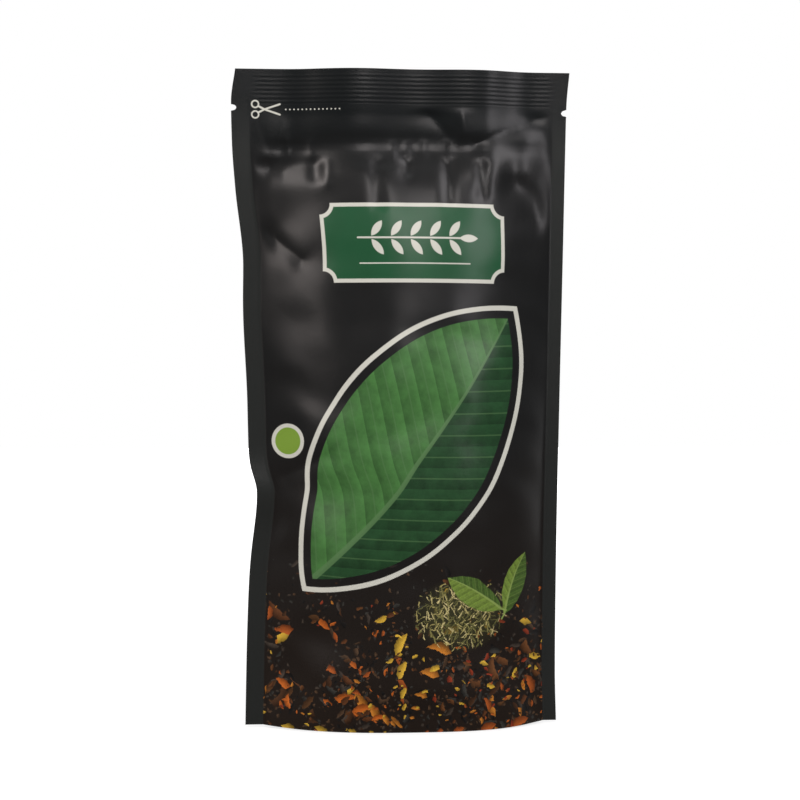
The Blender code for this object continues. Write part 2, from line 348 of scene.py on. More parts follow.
grid = {
    "bodyRows": 205,
    "zipRows": 12,
    "openRows": 10,
    "sealRows": 36,
    "notchRows": 12,
    "leastRowStep": 0.00012,
    "panelColumns": 140,
    "sealColumns": 5,
    "sharpAngle": 50.0,
}


def rowHeights():
    # even rows over the body, zip, open film and top seal, with a finer band at each notch
    notchBands = [
        pouch["height"] - fromTop + pouch["notchHalfHeight"] * np.linspace(-1, 1, grid["notchRows"])
        for fromTop in pouch["notchFromTop"]
    ]
    evenBands = (
        np.linspace(0, zipLow, grid["bodyRows"] + 1),
        np.linspace(zipLow, zipTop, grid["zipRows"] + 1),
        np.linspace(zipTop, sealBottom, grid["openRows"] + 1),
        np.linspace(sealBottom, pouch["height"], grid["sealRows"] + 1),
    )
    rows = np.sort(np.concatenate((*evenBands, *notchBands)))
    return rows[np.concatenate(([True], np.diff(rows) > grid["leastRowStep"]))]


def columnShares():
    # half even and half cosine spacing, so that columns crowd at the side seals
    even = np.linspace(0.0, 1.0, grid["panelColumns"] + 1)
    return 0.5 * even + 0.5 * (0.5 - 0.5 * np.cos(pi * even))


def filmGrid(height, panelShare, sealColumns):
    # x runs from the cut edge across the left seal, the panel and the right seal; u is x on the flat film
    height = height[:, None]
    left, right = sideEdges(height)
    innerLeft, innerRight = left + pouch["leftSeal"], right - pouch["rightSeal"]
    cutLeft = left + notch(height, pouch["notchFromTop"][0])
    cutRight = right - notch(height, pouch["notchFromTop"][1])
    across = np.linspace(0.0, 1.0, sealColumns + 1)[None, :]
    leftX = cutLeft + (innerLeft - cutLeft) * across[:, :-1]
    panelX = innerLeft + (innerRight - innerLeft) * panelShare
    rightX = innerRight + (cutRight - innerRight) * across[:, 1:]
    x = np.hstack((leftX, panelX, rightX))
    halfWidth = pouch["flatWidth"] / 2
    u = np.hstack(
        (
            leftX - left - halfWidth,
            -halfWidth + pouch["leftSeal"] + openWidth * panelShare + 0 * height,
            rightX - right + halfWidth,
        )
    )
    share = np.concatenate((np.zeros(sealColumns), panelShare, np.ones(sealColumns)))[None, :]
    return x, np.broadcast_to(share, x.shape), np.broadcast_to(height, x.shape), u


def bridge(one, other):
    # quads between two lines of vertex numbers
    return np.stack((one[:-1], one[1:], other[1:], other[:-1]), axis=-1)


def fan(middle, line):
    # triangles from one vertex number to a line of them, written as quads that end in the same number twice
    return np.stack((np.full(len(line) - 1, middle), line[:-1], line[1:], line[1:]), axis=-1)


def sheetFaces(numbers):
    # quads of a grid of vertex numbers
    a, b = numbers[:-1, :-1], numbers[:-1, 1:]
    c, d = numbers[1:, 1:], numbers[1:, :-1]
    return np.stack((a, b, c, d), axis=-1).reshape(-1, 4)


class Shell:
    # Collects points, their places on the flat film, and quads
    def __init__(self):
        self.points, self.flats, self.quads, self.count = [], [], [], 0

    def add(self, points, flats):
        shape = points.shape[:-1]
        numbers = self.count + np.arange(int(np.prod(shape))).reshape(shape)
        self.points.append(points.reshape(-1, 3))
        self.flats.append(np.broadcast_to(flats, shape + (2,)).reshape(-1, 2))
        self.count += numbers.size
        return numbers


# The film settles as cloth under a light pressure from inside. It is held at its welds and zip, and grows
# a little, most at the upper part of the side seals and below the zip. What the form doesn't need becomes
# creases.

cloth = {
    "rows": 92,
    "columns": 48,
    "frames": 45,
    "steps": 7,
    "scale": 10.0,  # the cloth solver rests too early on a film this small, so it settles ten times as large
    "mass": 0.05,
    "stretch": 60.0,
    "shear": 25.0,
    "bend": 3.0,
    "damping": 2.0,
    "bendDamping": 0.5,
    "air": 1.0,
    "pressure": 0.5,
    "leastGrowth": 0.006,
    "mostGrowth": 0.050,
    "runIn": 0.0080,
    "footRunIn": 0.0120,
    "lowShare": 0.12,
    "upperFrom": 0.105,
    "upperRise": 0.055,
    "shoulder": 0.022,
    "weightSteps": 20,
    "waves": 24,
    "waveLength": (0.012, 0.035),
    "waveHeight": 0.0005,
    "smoothings": 2,
    "keep": 0.55,
    "most": 0.0035,
    "seed": 11,
}


def resampled(field, rows, columns):
    # Catmull-Rom cubics through a grid of values, first along the rows and then along the columns
    for axis, place in ((0, rows), (1, columns)):
        field = np.moveaxis(field, axis, 0)
        last = len(field) - 1
        i = np.clip(np.floor(place).astype(int), 0, last - 1)
        t = (place - i).reshape((-1,) + (1,) * (field.ndim - 1))
        a, b = field[np.clip(i - 1, 0, last)], field[i]
        c, d = field[i + 1], field[np.clip(i + 2, 0, last)]
        field = b + 0.5 * t * (c - a + t * (2 * a - 5 * b + 4 * c - d + t * (3 * (b - c) + d - a)))
        field = np.moveaxis(field, 0, axis)
    return field


def startingWaves(x, height, seed):
    # sum of cosines of seeded direction, length and phase, which decides where the creases begin
    chance = np.random.default_rng(seed)
    total = np.zeros(x.shape)
    for _ in range(cloth["waves"]):
        turn, phase = chance.uniform(0, pi), chance.uniform(0, 2 * pi)
        length = chance.uniform(*cloth["waveLength"])
        total += np.cos(2 * pi * (x * cos(turn) + height * sin(turn)) / length + phase)
    return cloth["waveHeight"] * total / np.sqrt(cloth["waves"])


def settledFilm(side):
    # Runs the cloth on one panel and returns a function that gives its move away from the designed form
    height = np.linspace(0.0, zipLow, cloth["rows"])
    share = np.linspace(0.0, 1.0, cloth["columns"])
    x, shares, heights, _ = filmGrid(height, share, 0)
    start = filmPoint(side, shares, x, heights)
    upper = ease((heights - cloth["upperFrom"]) / cloth["upperRise"])
    upper = cloth["lowShare"] + (1 - cloth["lowShare"]) * upper
    shoulder = np.exp(-(((zipLow - heights) / cloth["shoulder"]) ** 2))
    growth = np.clip(np.abs(2 * shares - 1) ** 2 * upper + shoulder, 0.0, 1.0)
    held = np.zeros(start.shape[:2])
    held[[0, -1], :] = 1.0
    held[:, [0, -1]] = 1.0
    waves = startingWaves(start[..., 0], start[..., 2], cloth["seed"] + side)
    start[..., 1] += np.where(held < 1.0, waves, 0.0)

    numbers = np.arange(start[..., 0].size).reshape(start.shape[:2])
    faces = sheetFaces(numbers)
    if side > 0:
        faces = faces[:, ::-1]
    mesh = bpy.data.meshes.new("settling")
    mesh.from_pydata((start * cloth["scale"]).reshape(-1, 3).tolist(), [], faces.tolist())
    panel = bpy.data.objects.new("settling", mesh)
    bpy.context.scene.collection.objects.link(panel)
    growth = np.round(growth * cloth["weightSteps"]) / cloth["weightSteps"]
    for name, weights in (("held", held), ("growth", growth)):
        group = panel.vertex_groups.new(name=name)
        for weight in np.unique(weights):
            group.add(numbers[weights == weight].tolist(), float(weight), "REPLACE")

    simulation = panel.modifiers.new("settle", "CLOTH")
    settings = simulation.settings
    settings.quality = cloth["steps"]
    settings.mass = cloth["mass"]
    settings.tension_stiffness = settings.compression_stiffness = cloth["stretch"]
    settings.shear_stiffness = cloth["shear"]
    settings.bending_stiffness = cloth["bend"]
    settings.tension_damping = settings.compression_damping = settings.shear_damping = cloth["damping"]
    settings.bending_damping = cloth["bendDamping"]
    settings.air_damping = cloth["air"]
    settings.vertex_group_mass = "held"
    settings.vertex_group_shrink = "growth"
    settings.shrink_min = -cloth["leastGrowth"]
    settings.shrink_max = -cloth["mostGrowth"]
    settings.use_pressure = True
    settings.uniform_pressure_force = cloth["pressure"]
    settings.effector_weights.gravity = 0.0
    simulation.collision_settings.use_collision = False
    scene = bpy.context.scene
    simulation.point_cache.frame_start, simulation.point_cache.frame_end = 1, cloth["frames"]
    for number in range(1, cloth["frames"] + 1):
        scene.frame_set(number)
    settled = panel.evaluated_get(bpy.context.evaluated_depsgraph_get()).data
    moved = np.empty(start.size, dtype=np.float32)
    settled.vertices.foreach_get("co", moved)
    move = (moved.reshape(start.shape) / cloth["scale"] - start) * cloth["keep"]
    bpy.data.objects.remove(panel)
    bpy.data.meshes.remove(mesh)
    scene.frame_set(1)

    # neighbours are averaged, which takes out the cloth's own grid; a soft limit keeps the films apart
    for _ in range(cloth["smoothings"]):
        for axis in (0, 1):
            move = np.moveaxis(move, axis, 0)
            between = 0.25 * move[:-2] + 0.5 * move[1:-1] + 0.25 * move[2:]
            move = np.moveaxis(np.concatenate((move[:1], between, move[-1:])), 0, axis)
    far = np.linalg.norm(move, axis=2, keepdims=True)
    move = move * cloth["most"] * np.tanh(far / cloth["most"]) / np.maximum(far, 1e-9)
    print("film settled, side", side, "moved up to", round(float(far.max()) * 1000, 2), "mm,",
          "on average", round(float(far.mean()) * 1000, 2), "mm")

    def moveAt(share, height):
        rows = height[:, 0] / zipLow * (cloth["rows"] - 1)
        columns = share[0] * (cloth["columns"] - 1)
        free = ease((zipLow - height) / cloth["runIn"])
        free = free * ease((height - weldHeight(share)) / cloth["footRunIn"])
        return resampled(move, np.clip(rows, 0, cloth["rows"] - 1), columns) * free[..., None]

    return moveAt


backShift = 0.4  # how far the back film's u on the flat film is moved, clear of the front's print
recessShift = 0.05  # how far the recess is moved down there


def frameShift():
    # the frame's origin is under the middle of the bounding box, so the design moves by what centres it
    low, high = np.full(3, np.inf), np.full(3, -np.inf)
    height, share = rowHeights(), columnShares()
    x, share, height, _ = filmGrid(height, share, 1)
    for side in (-1, 1):
        points = filmPoint(side, share, x, height).reshape(-1, 3)
        low, high = np.minimum(low, points.min(axis=0)), np.maximum(high, points.max(axis=0))
    shift = (np.array(cadLow) + np.array(cadHigh)) / 2 - (low + high) / 2
    shift[2] = 0
    return shift


def filmShell(settled):
    height, panelShare = rowHeights(), columnShares()
    x, share, height, u = filmGrid(height, panelShare, grid["sealColumns"])
    frontPoints = filmPoint(-1, share, x, height)
    backPoints = filmPoint(1, share, x, height)
    if settled is not None:
        frontPoints = frontPoints + settled[0](share, height)
        backPoints = backPoints + settled[1](share, height)
    shell = Shell()
    front = shell.add(frontPoints, np.stack((u, height), axis=-1))
    back = shell.add(backPoints, np.stack((backShift - u, height), axis=-1))
    shell.quads += [sheetFaces(front), sheetFaces(back)]
    shell.quads += [bridge(front[:, side], back[:, side]) for side in (0, -1)]
    shell.quads.append(bridge(front[-1], back[-1]))

    # The recess under the base, where the walls stand clear of each other
    apart = backPoints[0, :, 1] - frontPoints[0, :, 1]
    columns = np.flatnonzero(apart > gusset["recessFrom"] * gusset["skirtThickness"])
    first, last = columns[0], columns[-1]
    for closed in (slice(0, first), slice(last + 1, None)):
        shell.quads.append(bridge(front[0, closed], back[0, closed]))
    recess, flats = recessLines(share[0, columns], x[0, columns], u[0, columns])
    inside = shell.add(recess, flats)
    lines = np.vstack((front[0, first : last + 1], inside, back[0, first : last + 1]))
    shell.quads.append(sheetFaces(lines))

    # Each end of the recess: a wall inside it and the foot of the corner outside it
    rungs = gusset["skirtLevels"] - 1
    for end, beside, corner in ((0, first - 1, first), (-1, last + 1, last)):
        ring = inside[:, end]
        shell.quads.append(bridge(ring[:rungs], ring[::-1][:rungs]))
        shell.quads.append(fan(ring[rungs - 1], ring[rungs : 1 - rungs]))
        foot = np.array([front[0, corner], ring[0], ring[-1], back[0, corner], back[0, beside]])
        shell.quads.append(fan(front[0, beside], foot))
    return shell


def skirtLine(side, level, share):
    # the film's own point at that share of the weld's height, moved in by the skirt's thickness
    height = level * weldHeight(share)
    left, right = sideEdges(0.0)
    x = left + pouch["leftSeal"] + (right - left - pouch["leftSeal"] - pouch["rightSeal"]) * share
    return filmPoint(side, share, x, height) - np.array((0.0, side * gusset["skirtThickness"], 0.0))


def recessLines(share, x, u):
    # skirts follow the inside of the front and back film up to the weld; between their tops the gusset
    # film is flat on the surface in the middle and climbs as a power of the distance beyond it
    fromMiddle = np.abs(2 * share - 1) * openWidth / 2
    rise = np.clip((fromMiddle - gusset["flatHalfLength"]) / (openWidth / 2 - gusset["flatHalfLength"]), 0, 1)
    fold = gusset["height"] * rise ** gusset["foldPower"]
    levels = np.linspace(0.0, 1.0, gusset["skirtLevels"])
    frontSkirt = np.stack([skirtLine(-1, level, share) for level in levels])
    backSkirt = np.stack([skirtLine(1, level, share) for level in levels[::-1]])
    across = np.linspace(0.0, 1.0, gusset["filmSteps"] + 1)[1:-1, None]
    edge = ease((np.abs(2 * across - 1) - gusset["flatShare"]) / (1 - gusset["flatShare"]))
    film = frontSkirt[-1][None] + (backSkirt[0] - frontSkirt[-1])[None] * across[..., None]
    film[..., 2] = fold + (film[..., 2] - fold) * edge
    recess = np.concatenate((frontSkirt, film, backSkirt))
    u = np.broadcast_to(backShift + u, recess.shape[:2])
    return recess, np.stack((u, recess[..., 2] - recessShift), axis=-1)


def makePouch(settled):
    shell = filmShell(settled)
    points = np.concatenate(shell.points) + frameShift()
    points[:, 2] = np.maximum(points[:, 2], 0.0)
    quads = np.concatenate(shell.quads)
    closing = quads[:, 2] == quads[:, 3]
    mesh = bpy.data.meshes.new("teaPouchFilm")
    faces = quads[~closing].tolist() + quads[closing][:, :3].tolist()
    mesh.from_pydata(points.tolist(), [], faces)
    flats = np.concatenate(shell.flats)
    corner = np.empty(len(mesh.loops), dtype=np.int32)
    mesh.loops.foreach_get("vertex_index", corner)
    filmMap = mesh.uv_layers.new(name="filmMap")
    filmMap.uv.foreach_set("vector", flats[corner].astype(np.float32).ravel())
    mesh.materials.append(printedFilm())
    piece = bpy.data.objects.new("teaPouchFilm", mesh)
    bpy.context.scene.collection.objects.link(piece)
    bpy.context.view_layer.objects.active = piece
    piece.select_set(True)
    bpy.ops.object.mode_set(mode="EDIT")
    bpy.ops.mesh.select_all(action="SELECT")
    bpy.ops.mesh.normals_make_consistent(inside=False)
    bpy.ops.object.mode_set(mode="OBJECT")
    piece.select_set(False)
    mesh.shade_smooth()
    mesh.set_sharp_from_angle(angle=radians(grid["sharpAngle"]))
    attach(piece, "root")
    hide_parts("tea_pouch")
    triangles = sum(len(face) - 2 for face in faces)
    print("pouch film:", len(points), "points,", triangles, "triangles")


# Materials

colours = {
    "ground": (0.0092, 0.0088, 0.0086),
    # painted shade: a darker, cooler ground for the top of the film and of the side seals
    "topPaintedShade": (0.0046, 0.0058, 0.0062),
    "warmGround": (0.0170, 0.0105, 0.0070),
    "seal": (0.0185, 0.0200, 0.0185),
    "plate": (0.0085, 0.0760, 0.0260),
    "plateLight": (0.0110, 0.0940, 0.0340),
    "cream": (0.600, 0.600, 0.530),
    "leafLight": (0.0520, 0.1620, 0.0380),
    "leafDark": (0.0150, 0.0600, 0.0190),
    "leafVein": (0.0900, 0.1950, 0.0700),
    "freshLight": (0.1500, 0.2300, 0.0340),
    "freshDark": (0.0600, 0.1150, 0.0190),
    "freshVein": (0.2400, 0.3300, 0.0800),
    "dot": (0.1900, 0.3200, 0.0340),
    "heapGap": (0.0420, 0.0410, 0.0150),
}


class NodeTree:
    # Short calls for building a material out of nodes; a value is a number or another node's socket
    def __init__(self, tree):
        self.tree = tree

    def node(self, kind, **settings):
        made = self.tree.nodes.new(kind)
        for key, value in settings.items():
            setattr(made, key, value)
        return made

    def put(self, socket, value):
        if isinstance(value, bpy.types.NodeSocket):
            self.tree.links.new(value, socket)
        else:
            socket.default_value = value

    def maths(self, operation, *values, clamp=False):
        made = self.node("ShaderNodeMath", operation=operation, use_clamp=clamp)
        for socket, value in zip(made.inputs, values):
            self.put(socket, value)
        return made.outputs[0]

    def add(self, *values):
        total = values[0]
        for value in values[1:]:
            total = self.maths("ADD", total, value)
        return total

    def times(self, *values):
        total = values[0]
        for value in values[1:]:
            total = self.maths("MULTIPLY", total, value)
        return total

    def less(self, one, other):
        return self.maths("SUBTRACT", one, other)

    def inside(self, distance, soft=0.00012):
        # 1 where the distance is negative, 0 where it is positive, over a soft edge
        return self.maths("SUBTRACT", 0.5, self.maths("DIVIDE", distance, 2 * soft), clamp=True)

    def greater(self, one, other):
        return self.maths("MAXIMUM", one, other)

    def lesser(self, one, other):
        return self.maths("MINIMUM", one, other)

    def size(self, value):
        return self.maths("ABSOLUTE", value)

    def length(self, one, other):
        # square root of a^2 + b^2
        return self.maths("SQRT", self.add(self.times(one, one), self.times(other, other)))

    def split(self, vector):
        made = self.node("ShaderNodeSeparateXYZ")
        self.put(made.inputs[0], vector)
        return made.outputs["X"], made.outputs["Y"], made.outputs["Z"]

    def nearestOf(self, value, pitch, fewest, most):
        # distance along a row of places that lie a pitch apart, from the nearest one in the row
        step = self.maths("ROUND", self.times(value, 1 / pitch))
        step = self.lesser(self.greater(step, fewest), most)
        return self.less(value, self.times(step, pitch))

    def turned(self, u, v, place, turn):
        # places along and across a direction, from a place
        du, dv = self.less(u, place[0]), self.less(v, place[1])
        along = self.add(self.times(du, cos(turn)), self.times(dv, sin(turn)))
        return along, self.less(self.times(dv, cos(turn)), self.times(du, sin(turn)))

    def lens(self, along, across, halfLength, halfWidth):
        # distance to the overlap of two equal circles: length(a, |b| + offset) - radius
        radius = (halfLength**2 + halfWidth**2) / (2 * halfWidth)
        outer = self.add(self.size(across), radius - halfWidth)
        return self.less(self.length(along, outer), radius)

    def stroke(self, along, across, start, end, halfWidth):
        # distance to a straight line between two places, less half its width
        da, db = end[0] - start[0], end[1] - start[1]
        fromA, fromB = self.less(along, start[0]), self.less(across, start[1])
        reached = self.add(self.times(fromA, da), self.times(fromB, db))
        reached = self.maths("MULTIPLY", reached, 1 / (da * da + db * db), clamp=True)
        awayA, awayB = self.less(fromA, self.times(reached, da)), self.less(fromB, self.times(reached, db))
        return self.less(self.length(awayA, awayB), halfWidth)

    def shaded(self, colour, amount):
        made = self.node("ShaderNodeVectorMath", operation="SCALE")
        self.put(made.inputs[0], colour)
        self.put(made.inputs["Scale"], amount)
        return made.outputs[0]

    def chosen(self, chance, palette):
        # one of the palette's colours, in equal shares
        made = self.node("ShaderNodeValToRGB")
        ramp = made.color_ramp
        ramp.interpolation = "CONSTANT"
        while len(ramp.elements) < len(palette):
            ramp.elements.new(0.5)
        for number, colour in enumerate(palette):
            ramp.elements[number].position = number / len(palette)
            ramp.elements[number].color = (*colour, 1.0)
        self.put(made.inputs[0], chance)
        return made.outputs["Color"]

    def mix(self, factor, under, over):
        made = self.node("ShaderNodeMix", data_type="RGBA")
        self.put(made.inputs["Factor"], factor)
        for socket, value in zip([s for s in made.inputs if s.type == "RGBA"], (under, over)):
            self.put(socket, value if isinstance(value, bpy.types.NodeSocket) else (*value, 1.0))
        return next(s for s in made.outputs if s.type == "RGBA")

    def noise(self, where, scale, detail=2.0, roughness=0.5, dimensions="3D"):
        made = self.node("ShaderNodeTexNoise", noise_dimensions=dimensions)
        self.put(made.inputs["Vector"], where)
        self.put(made.inputs["Scale"], scale)
        self.put(made.inputs["Detail"], detail)
        self.put(made.inputs["Roughness"], roughness)
        return made.outputs["Fac"]


# The print lies on the flat film in metres: u across it from the middle, v up it from the foot. It is a
# generic tea design and carries no lettering.

palettes = {
    "dark": ((0.056, 0.042, 0.032), (0.013, 0.011, 0.010), (0.080, 0.044, 0.023), (0.038, 0.036, 0.031)),
    "warm": (
        (0.060, 0.025, 0.010), (0.500, 0.115, 0.012), (0.110, 0.038, 0.012), (0.480, 0.170, 0.018),
        (0.260, 0.034, 0.010), (0.085, 0.036, 0.012), (0.360, 0.080, 0.012), (0.130, 0.048, 0.014),
        (0.620, 0.380, 0.035),
    ),
    "green": ((0.430, 0.365, 0.130), (0.230, 0.210, 0.065), (0.600, 0.510, 0.230), (0.135, 0.130, 0.040)),
}

flecks = {
    "shrink": (0.7, 1.5),  # the size is divided by a chance number between these
    "curl": 0.45,  # how far the ends bend at most, of half the length
    "raggedPitch": 0.0013,
    "raggedHeight": 0.00045,
    "light": 0.80,
    "lightTilt": 0.45,  # lighter towards one long edge
    "colourTurns": (7.0, 5.0),
    "soft": 0.00008,
    "thinning": 1.5,
    "clumpsInMetre": 75.0,
    "clumpGain": 1.6,
    "clumpLoss": 0.30,
    "clumpFill": 1.5,
}

# Strewn tea: cells in a metre, half length, half width, share of cells filled at the foot, height at which
# none is left, palette
strewn = (
    (560.0, 0.00075, 0.00045, 0.85, 0.0640, "dark"),
    (210.0, 0.00280, 0.00080, 0.80, 0.0620, "dark"),
    (100.0, 0.00460, 0.00140, 0.46, 0.0500, "warm"),
    (140.0, 0.00360, 0.00130, 0.46, 0.0540, "warm"),
    (220.0, 0.00240, 0.00090, 0.36, 0.0580, "warm"),
    (340.0, 0.00150, 0.00060, 0.24, 0.0600, "warm"),
    (560.0, 0.00080, 0.00040, 0.14, 0.0640, "warm"),
)

heap = {
    "middle": (0.0215, 0.0425),
    "halfSize": (0.0165, 0.0115),
    "edge": (-1.9, 2.3),
    "gapShare": 0.8,
    "halfWidth": 0.00023,
    "curl": 0.14,
    "needles": (  # cells in a metre, half length
        (420.0, 0.00210), (240.0, 0.00360), (300.0, 0.00300), (210.0, 0.00420), (340.0, 0.00280),
    ),
}

bare = {"middle": (-0.0385, 0.0285), "halfSize": (0.0085, 0.0090), "edge": (2.5, -2.5)}  # left free of tea


def cover(tree, u, v, place):
    # slope * distance + start, held between 0 and 1; the place's edge gives both, and its own ellipse is at
    # distance 1
    away = []
    for at, middle, half in zip((u, v), place["middle"], place["halfSize"]):
        away.append(tree.times(tree.less(at, middle), 1 / half))
    return tree.maths("MULTIPLY_ADD", tree.length(*away), *place["edge"], clamp=True)


def fleck(tree, where, u, v, under, layer, wave, share, palette):
    # one lens in each cell of a Voronoi pattern, turned, sized and curled by the cell's own chance numbers,
    # and left out where the third of them is over the share
    cellsInMetre, halfLength, halfWidth, curled = layer
    cells = tree.node("ShaderNodeTexVoronoi", voronoi_dimensions="2D", feature="F1")
    tree.put(cells.inputs["Vector"], where)
    tree.put(cells.inputs["Scale"], cellsInMetre)
    cellU, cellV, _ = tree.split(cells.outputs["Position"])
    turnChance, sizeChance, fillChance = tree.split(cells.outputs["Color"])
    turn = tree.times(turnChance, 2 * pi)
    cosine, sine = tree.maths("COSINE", turn), tree.maths("SINE", turn)
    du, dv = tree.less(u, cellU), tree.less(v, cellV)
    least, most = flecks["shrink"]
    shrink = tree.maths("MULTIPLY_ADD", sizeChance, most - least, least)
    along = tree.add(tree.times(du, cosine), tree.times(dv, sine))
    across = tree.add(tree.less(tree.times(dv, cosine), tree.times(du, sine)), wave)
    curl = tree.maths("MULTIPLY_ADD", sizeChance, 2 * curled / halfLength, -curled / halfLength)
    across = tree.add(across, tree.times(along, along, curl))
    edge = tree.lens(tree.times(along, shrink), tree.times(across, shrink), halfLength, halfWidth)
    light = tree.maths("MULTIPLY_ADD", across, flecks["lightTilt"] / halfWidth, flecks["light"])
    turnTurns, sizeTurns = flecks["colourTurns"]
    chance = tree.add(tree.times(turnChance, turnTurns), tree.times(sizeChance, sizeTurns))
    colour = tree.shaded(tree.chosen(tree.maths("FRACT", chance), palettes[palette]), light)
    shown = tree.times(tree.inside(edge, flecks["soft"]), tree.maths("LESS_THAN", fillChance, share))
    return tree.mix(shown, under, colour)


def strewnPrint(tree, where, u, v, under):
    # tea in clumps that thins out up the film and spares the bare place, then the heap of needles
    clump = tree.noise(where, flecks["clumpsInMetre"], 1.0, dimensions="2D")
    clump = tree.maths("MULTIPLY_ADD", clump, flecks["clumpGain"], -flecks["clumpLoss"], clamp=True)
    covered = cover(tree, u, v, bare)
    wave = tree.noise(where, 1 / flecks["raggedPitch"], 1.0, dimensions="2D")
    wave = tree.maths("MULTIPLY_ADD", wave, 2 * flecks["raggedHeight"], -flecks["raggedHeight"])
    thinning = flecks["thinning"]
    for cellsInMetre, halfLength, halfWidth, filled, highest, palette in strewn:
        layer = (cellsInMetre, halfLength, halfWidth, flecks["curl"])
        left = tree.maths("MULTIPLY_ADD", v, -thinning / highest, thinning, clamp=True)
        share = tree.times(left, clump, covered, flecks["clumpFill"] * filled)
        under = fleck(tree, where, u, v, under, layer, wave, share, palette)
    nearHeap = cover(tree, u, v, heap)
    under = tree.mix(tree.times(nearHeap, heap["gapShare"]), under, colours["heapGap"])
    for cellsInMetre, halfLength in heap["needles"]:
        layer = (cellsInMetre, halfLength, heap["halfWidth"], heap["curl"])
        under = fleck(tree, where, u, v, under, layer, wave, nearHeap, "green")
    return under


leaves = {
    "large": {
        "middle": (0.0010, 0.1025), "turn": 50.6, "halfLength": 0.0610, "halfWidth": 0.0300, "bend": 0.0050,
        "veinPitch": 0.0098, "veinWidth": 0.00030, "veinSlope": 0.80, "ribWidth": 0.00075,
        "light": "leafLight", "dark": "leafDark", "vein": "leafVein", "stem": 0.0,
    },
    "upper": {
        "middle": (0.0270, 0.0500), "turn": 152.0, "halfLength": 0.0130, "halfWidth": 0.0050, "bend": 0.0010,
        "veinPitch": 0.0030, "veinWidth": 0.00010, "veinSlope": 0.80, "ribWidth": 0.00028,
        "light": "freshLight", "dark": "freshDark", "vein": "freshVein", "stem": 0.165,
    },
    "lower": {
        "middle": (0.0440, 0.0530), "turn": 68.0, "halfLength": 0.0120, "halfWidth": 0.0044, "bend": -0.0010,
        "veinPitch": 0.0030, "veinWidth": 0.00010, "veinSlope": 0.80, "ribWidth": 0.00028,
        "light": "freshLight", "dark": "freshDark", "vein": "freshVein", "stem": 0.165,
    },
}

leafLook = {
    "edgeWave": 0.0005,
    "mostVeins": 30,  # each way from the middle
    "veinSoft": 0.00015,
    "veinShare": 0.42,
    "veinLight": 0.45,
    "ribTaper": 0.6,
    "ribShare": 0.85,
    "toneSoft": 0.0002,
    "streaks": 5.4,  # in half the leaf's width
    "streakDetail": (4.0, 0.65),
    "streakLight": (0.9, 0.52),
    "stemFrom": 0.985,
    "stemBend": 0.4,
}


def leafPrint(tree, where, u, v, under, leaf):
    # a lens in two tones, parted by a bent midrib, with slanting side veins
    look = leafLook
    along, across = tree.turned(u, v, leaf["middle"], radians(leaf["turn"]))
    wave = tree.noise(where, 1 / leaf["halfWidth"], 1.0, dimensions="2D")
    wave = tree.maths("MULTIPLY_ADD", wave, 2 * look["edgeWave"], -look["edgeWave"])
    edge = tree.lens(along, tree.add(across, wave), leaf["halfLength"], leaf["halfWidth"])
    ratio = tree.times(along, 1 / leaf["halfLength"])
    fromRib = tree.add(across, tree.times(tree.less(1.0, tree.times(ratio, ratio)), leaf["bend"]))
    reach = tree.size(fromRib)
    slant = tree.less(along, tree.times(reach, leaf["veinSlope"]))
    fromVein = tree.nearestOf(slant, leaf["veinPitch"], -look["mostVeins"], look["mostVeins"])
    vein = tree.inside(tree.less(tree.size(fromVein), leaf["veinWidth"]), look["veinSoft"])
    ribWidth = tree.maths("MULTIPLY_ADD", ratio, -look["ribTaper"] * leaf["ribWidth"], leaf["ribWidth"])
    rib = tree.inside(tree.less(reach, ribWidth))
    tone = tree.mix(tree.inside(fromRib, look["toneSoft"]), colours[leaf["light"]], colours[leaf["dark"]])
    streaks = tree.noise(where, look["streaks"] / leaf["halfWidth"], *look["streakDetail"], dimensions="2D")
    streaks = tree.maths("MULTIPLY_ADD", streaks, *look["streakLight"])
    light = tree.add(tree.times(fromVein, look["veinLight"] / leaf["veinPitch"]), streaks)
    tone = tree.shaded(tone, light)
    tone = tree.mix(tree.times(vein, look["veinShare"]), tone, colours[leaf["vein"]])
    tone = tree.mix(tree.times(rib, look["ribShare"]), tone, colours[leaf["vein"]])
    if leaf["stem"]:
        foot = (-leaf["halfLength"] * look["stemFrom"], 0.0)
        end = (-leaf["halfLength"] * (look["stemFrom"] + leaf["stem"]), -leaf["bend"] * look["stemBend"])
        stem = tree.stroke(along, across, foot, end, leaf["ribWidth"])
        under = tree.mix(tree.inside(stem), under, colours[leaf["vein"]])
    return tree.mix(tree.inside(edge), under, tone), edge


plate = {
    "middle": (0.0030, 0.1767),
    "halfSize": (0.0350, 0.0145),
    "corner": 0.0042,
    "line": 0.0007,
    "mottlesInMetre": 90.0,
    "ruleFrom": 0.0075,
    "ruleHalfLength": 0.0210,
    "ruleLine": 0.00022,
}

sprig = {
    "rise": 0.0018,
    "pitch": 0.0074,
    "pairs": 2,  # each way from the middle pair
    "leafAt": (0.0006, 0.0034),
    "leafTurn": 52.0,
    "leafHalfSize": (0.0035, 0.00135),
    "tipFrom": 0.40,  # in pitches from the last pair
    "tipOut": 0.0030,
    "tipHalfSize": (0.0036, 0.0014),
    "stemEnds": (0.9, 0.5),  # in pitches from the last pairs
    "stemLine": 0.00032,
}


